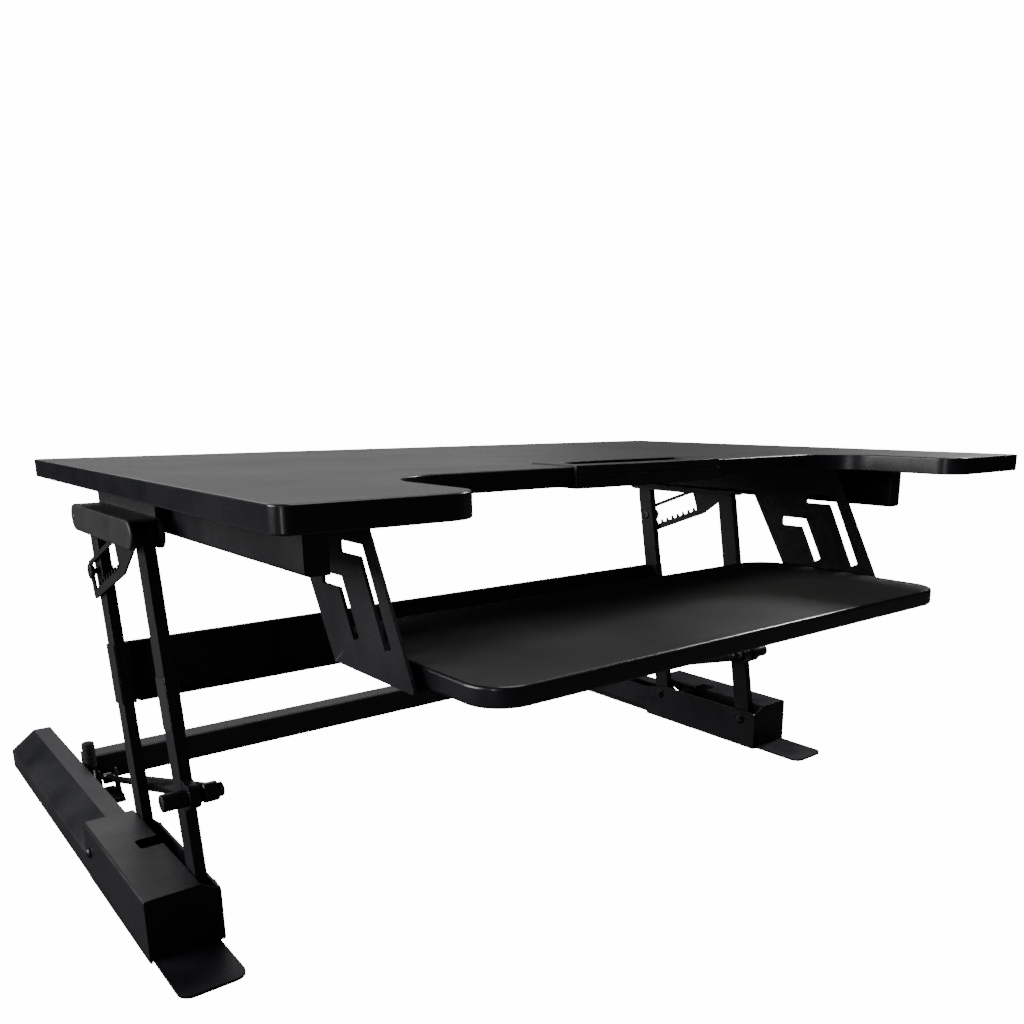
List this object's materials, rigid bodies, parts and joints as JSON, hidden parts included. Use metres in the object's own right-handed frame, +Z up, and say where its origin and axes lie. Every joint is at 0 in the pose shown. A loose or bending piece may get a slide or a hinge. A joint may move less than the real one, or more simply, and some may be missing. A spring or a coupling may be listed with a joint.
{
  "type": "standing desk converter",
  "caption": "sit-stand desk riser with a U-shaped work surface, a hanging keyboard tray and a folding parallelogram lift on long flat feet",
  "frame": {"origin": "on the table, under the centre of the footprint at the raised height", "axes": "+X to the user's right, +Y away from the user to the back, +Z up"},
  "size_m": [0.9322, 0.9526, 0.4442],
  "materials": {
    "laminate": "satin black laminate on board",
    "powder_coat": "fine satin black powder coat",
    "plastic": "fine textured black plastic",
    "gloss_sleeve": "gloss black",
    "gloss_paint": "gloss black paint",
    "steel_rod": "ground and darkened",
    "black_steel": "black zinc",
    "rubber": "matt"
  },
  "bodies": {
    "base": {"base_beam": "powder_coat", "bump_stop_left": "rubber", "bump_stop_right": "rubber", "casing_bolt_left": "black_steel", "casing_bolt_right": "black_steel", "foot_casing_left": "powder_coat", "foot_casing_right": "powder_coat", "foot_cover_left": "powder_coat", "foot_cover_right": "powder_coat", "foot_rail_left": "powder_coat", "foot_rail_right": "powder_coat", "low_bolt_front_left": "black_steel", "low_bolt_front_right": "black_steel", "low_bolt_rear_left": "black_steel", "low_bolt_rear_right": "black_steel", "pad_front_left": "rubber", "pad_front_right": "rubber", "pad_rear_left": "rubber", "pad_rear_right": "rubber", "spring_anchor_left": "powder_coat", "spring_anchor_right": "powder_coat"},
    "rear_arms": {"rear_arm_left": "powder_coat", "rear_arm_right": "powder_coat", "cross_panel": "powder_coat", "ratchet_pin_left": "black_steel", "ratchet_pin_right": "black_steel"},
    "upper_deck": {"desktop": "laminate", "device_insert": "plastic", "keyboard_tray": "laminate", "side_rail_left": "powder_coat", "side_rail_right": "powder_coat", "top_bolt_front_left": "black_steel", "top_bolt_front_right": "black_steel", "top_bolt_rear_left": "black_steel", "top_bolt_rear_right": "black_steel", "tray_bracket_left": "powder_coat", "tray_bracket_right": "powder_coat", "upper_housing_left": "plastic", "upper_housing_right": "plastic"},
    "front_arm_left": {"front_arm_left": "powder_coat", "arm_sleeve_left": "gloss_sleeve", "cross_pin_left": "powder_coat"},
    "gas_cylinder_left": {"gas_cylinder_left": "gloss_paint"},
    "gas_rod_left": {"gas_rod_left": "steel_rod"},
    "ratchet_strut_left": {"ratchet_strut_left": "powder_coat"},
    "front_arm_right": {"front_arm_right": "powder_coat", "arm_sleeve_right": "gloss_sleeve", "cross_pin_right": "powder_coat"},
    "gas_cylinder_right": {"gas_cylinder_right": "gloss_paint"},
    "gas_rod_right": {"gas_rod_right": "steel_rod"},
    "ratchet_strut_right": {"ratchet_strut_right": "powder_coat"}
  },
  "joints": [
    {"name": "lift", "type": "hinge", "parent": "base", "child": "rear_arms", "pos_m": [0, 0.0399, 0.0435], "axis": [-1, 0, 0], "range_deg": [0, 70.5]},
    {"name": "deck_level", "type": "hinge", "parent": "rear_arms", "child": "upper_deck", "pos_m": [0, 0.09387, 0.38425], "axis": [1, 0, 0], "range_deg": [0, 71]},
    {"name": "front_arm_left_swing", "type": "hinge", "parent": "base", "child": "front_arm_left", "pos_m": [0, -0.127, 0.0435], "axis": [-1, 0, 0], "range_deg": [0, 71]},
    {"name": "spring_left_swing", "type": "hinge", "parent": "front_arm_left", "child": "gas_cylinder_left", "pos_m": [0, -0.13378, 0.1445], "axis": [1, 0, 0], "range_deg": [0, 74.24]},
    {"name": "spring_left_stroke", "type": "slide", "parent": "gas_cylinder_left", "child": "gas_rod_left", "axis": [0, 0.9618, -0.2738], "range_m": [-0.11739, 0]},
    {"name": "strut_left_swing", "type": "hinge", "parent": "upper_deck", "child": "ratchet_strut_left", "pos_m": [0, -0.07303, 0.38425], "axis": [1, 0, 0], "range_deg": [0, 11.3]},
    {"name": "front_arm_right_swing", "type": "hinge", "parent": "base", "child": "front_arm_right", "pos_m": [0, -0.127, 0.0435], "axis": [-1, 0, 0], "range_deg": [0, 71]},
    {"name": "spring_right_swing", "type": "hinge", "parent": "front_arm_right", "child": "gas_cylinder_right", "pos_m": [0, -0.13378, 0.1445], "axis": [1, 0, 0], "range_deg": [0, 74.24]},
    {"name": "spring_right_stroke", "type": "slide", "parent": "gas_cylinder_right", "child": "gas_rod_right", "axis": [0, 0.9618, -0.2738], "range_m": [-0.11739, 0]},
    {"name": "strut_right_swing", "type": "hinge", "parent": "upper_deck", "child": "ratchet_strut_right", "pos_m": [0, -0.07303, 0.38425], "axis": [1, 0, 0], "range_deg": [0, 11.3]}
  ],
  "couplings": [
    {"joint": "deck_level", "follows": "lift", "ratio": 1},
    {"joint": "front_arm_left_swing", "follows": "lift", "ratio": 1},
    {"joint": "spring_left_swing", "follows": "lift", "ratio": 1.046},
    {"joint": "spring_left_stroke", "follows": "lift", "m_per_rad": -0.095},
    {"joint": "strut_left_swing", "follows": "lift", "ratio": 0.156},
    {"joint": "front_arm_right_swing", "follows": "lift", "ratio": 1},
    {"joint": "spring_right_swing", "follows": "lift", "ratio": 1.046},
    {"joint": "spring_right_stroke", "follows": "lift", "m_per_rad": -0.095},
    {"joint": "strut_right_swing", "follows": "lift", "ratio": 0.156}
  ]
}
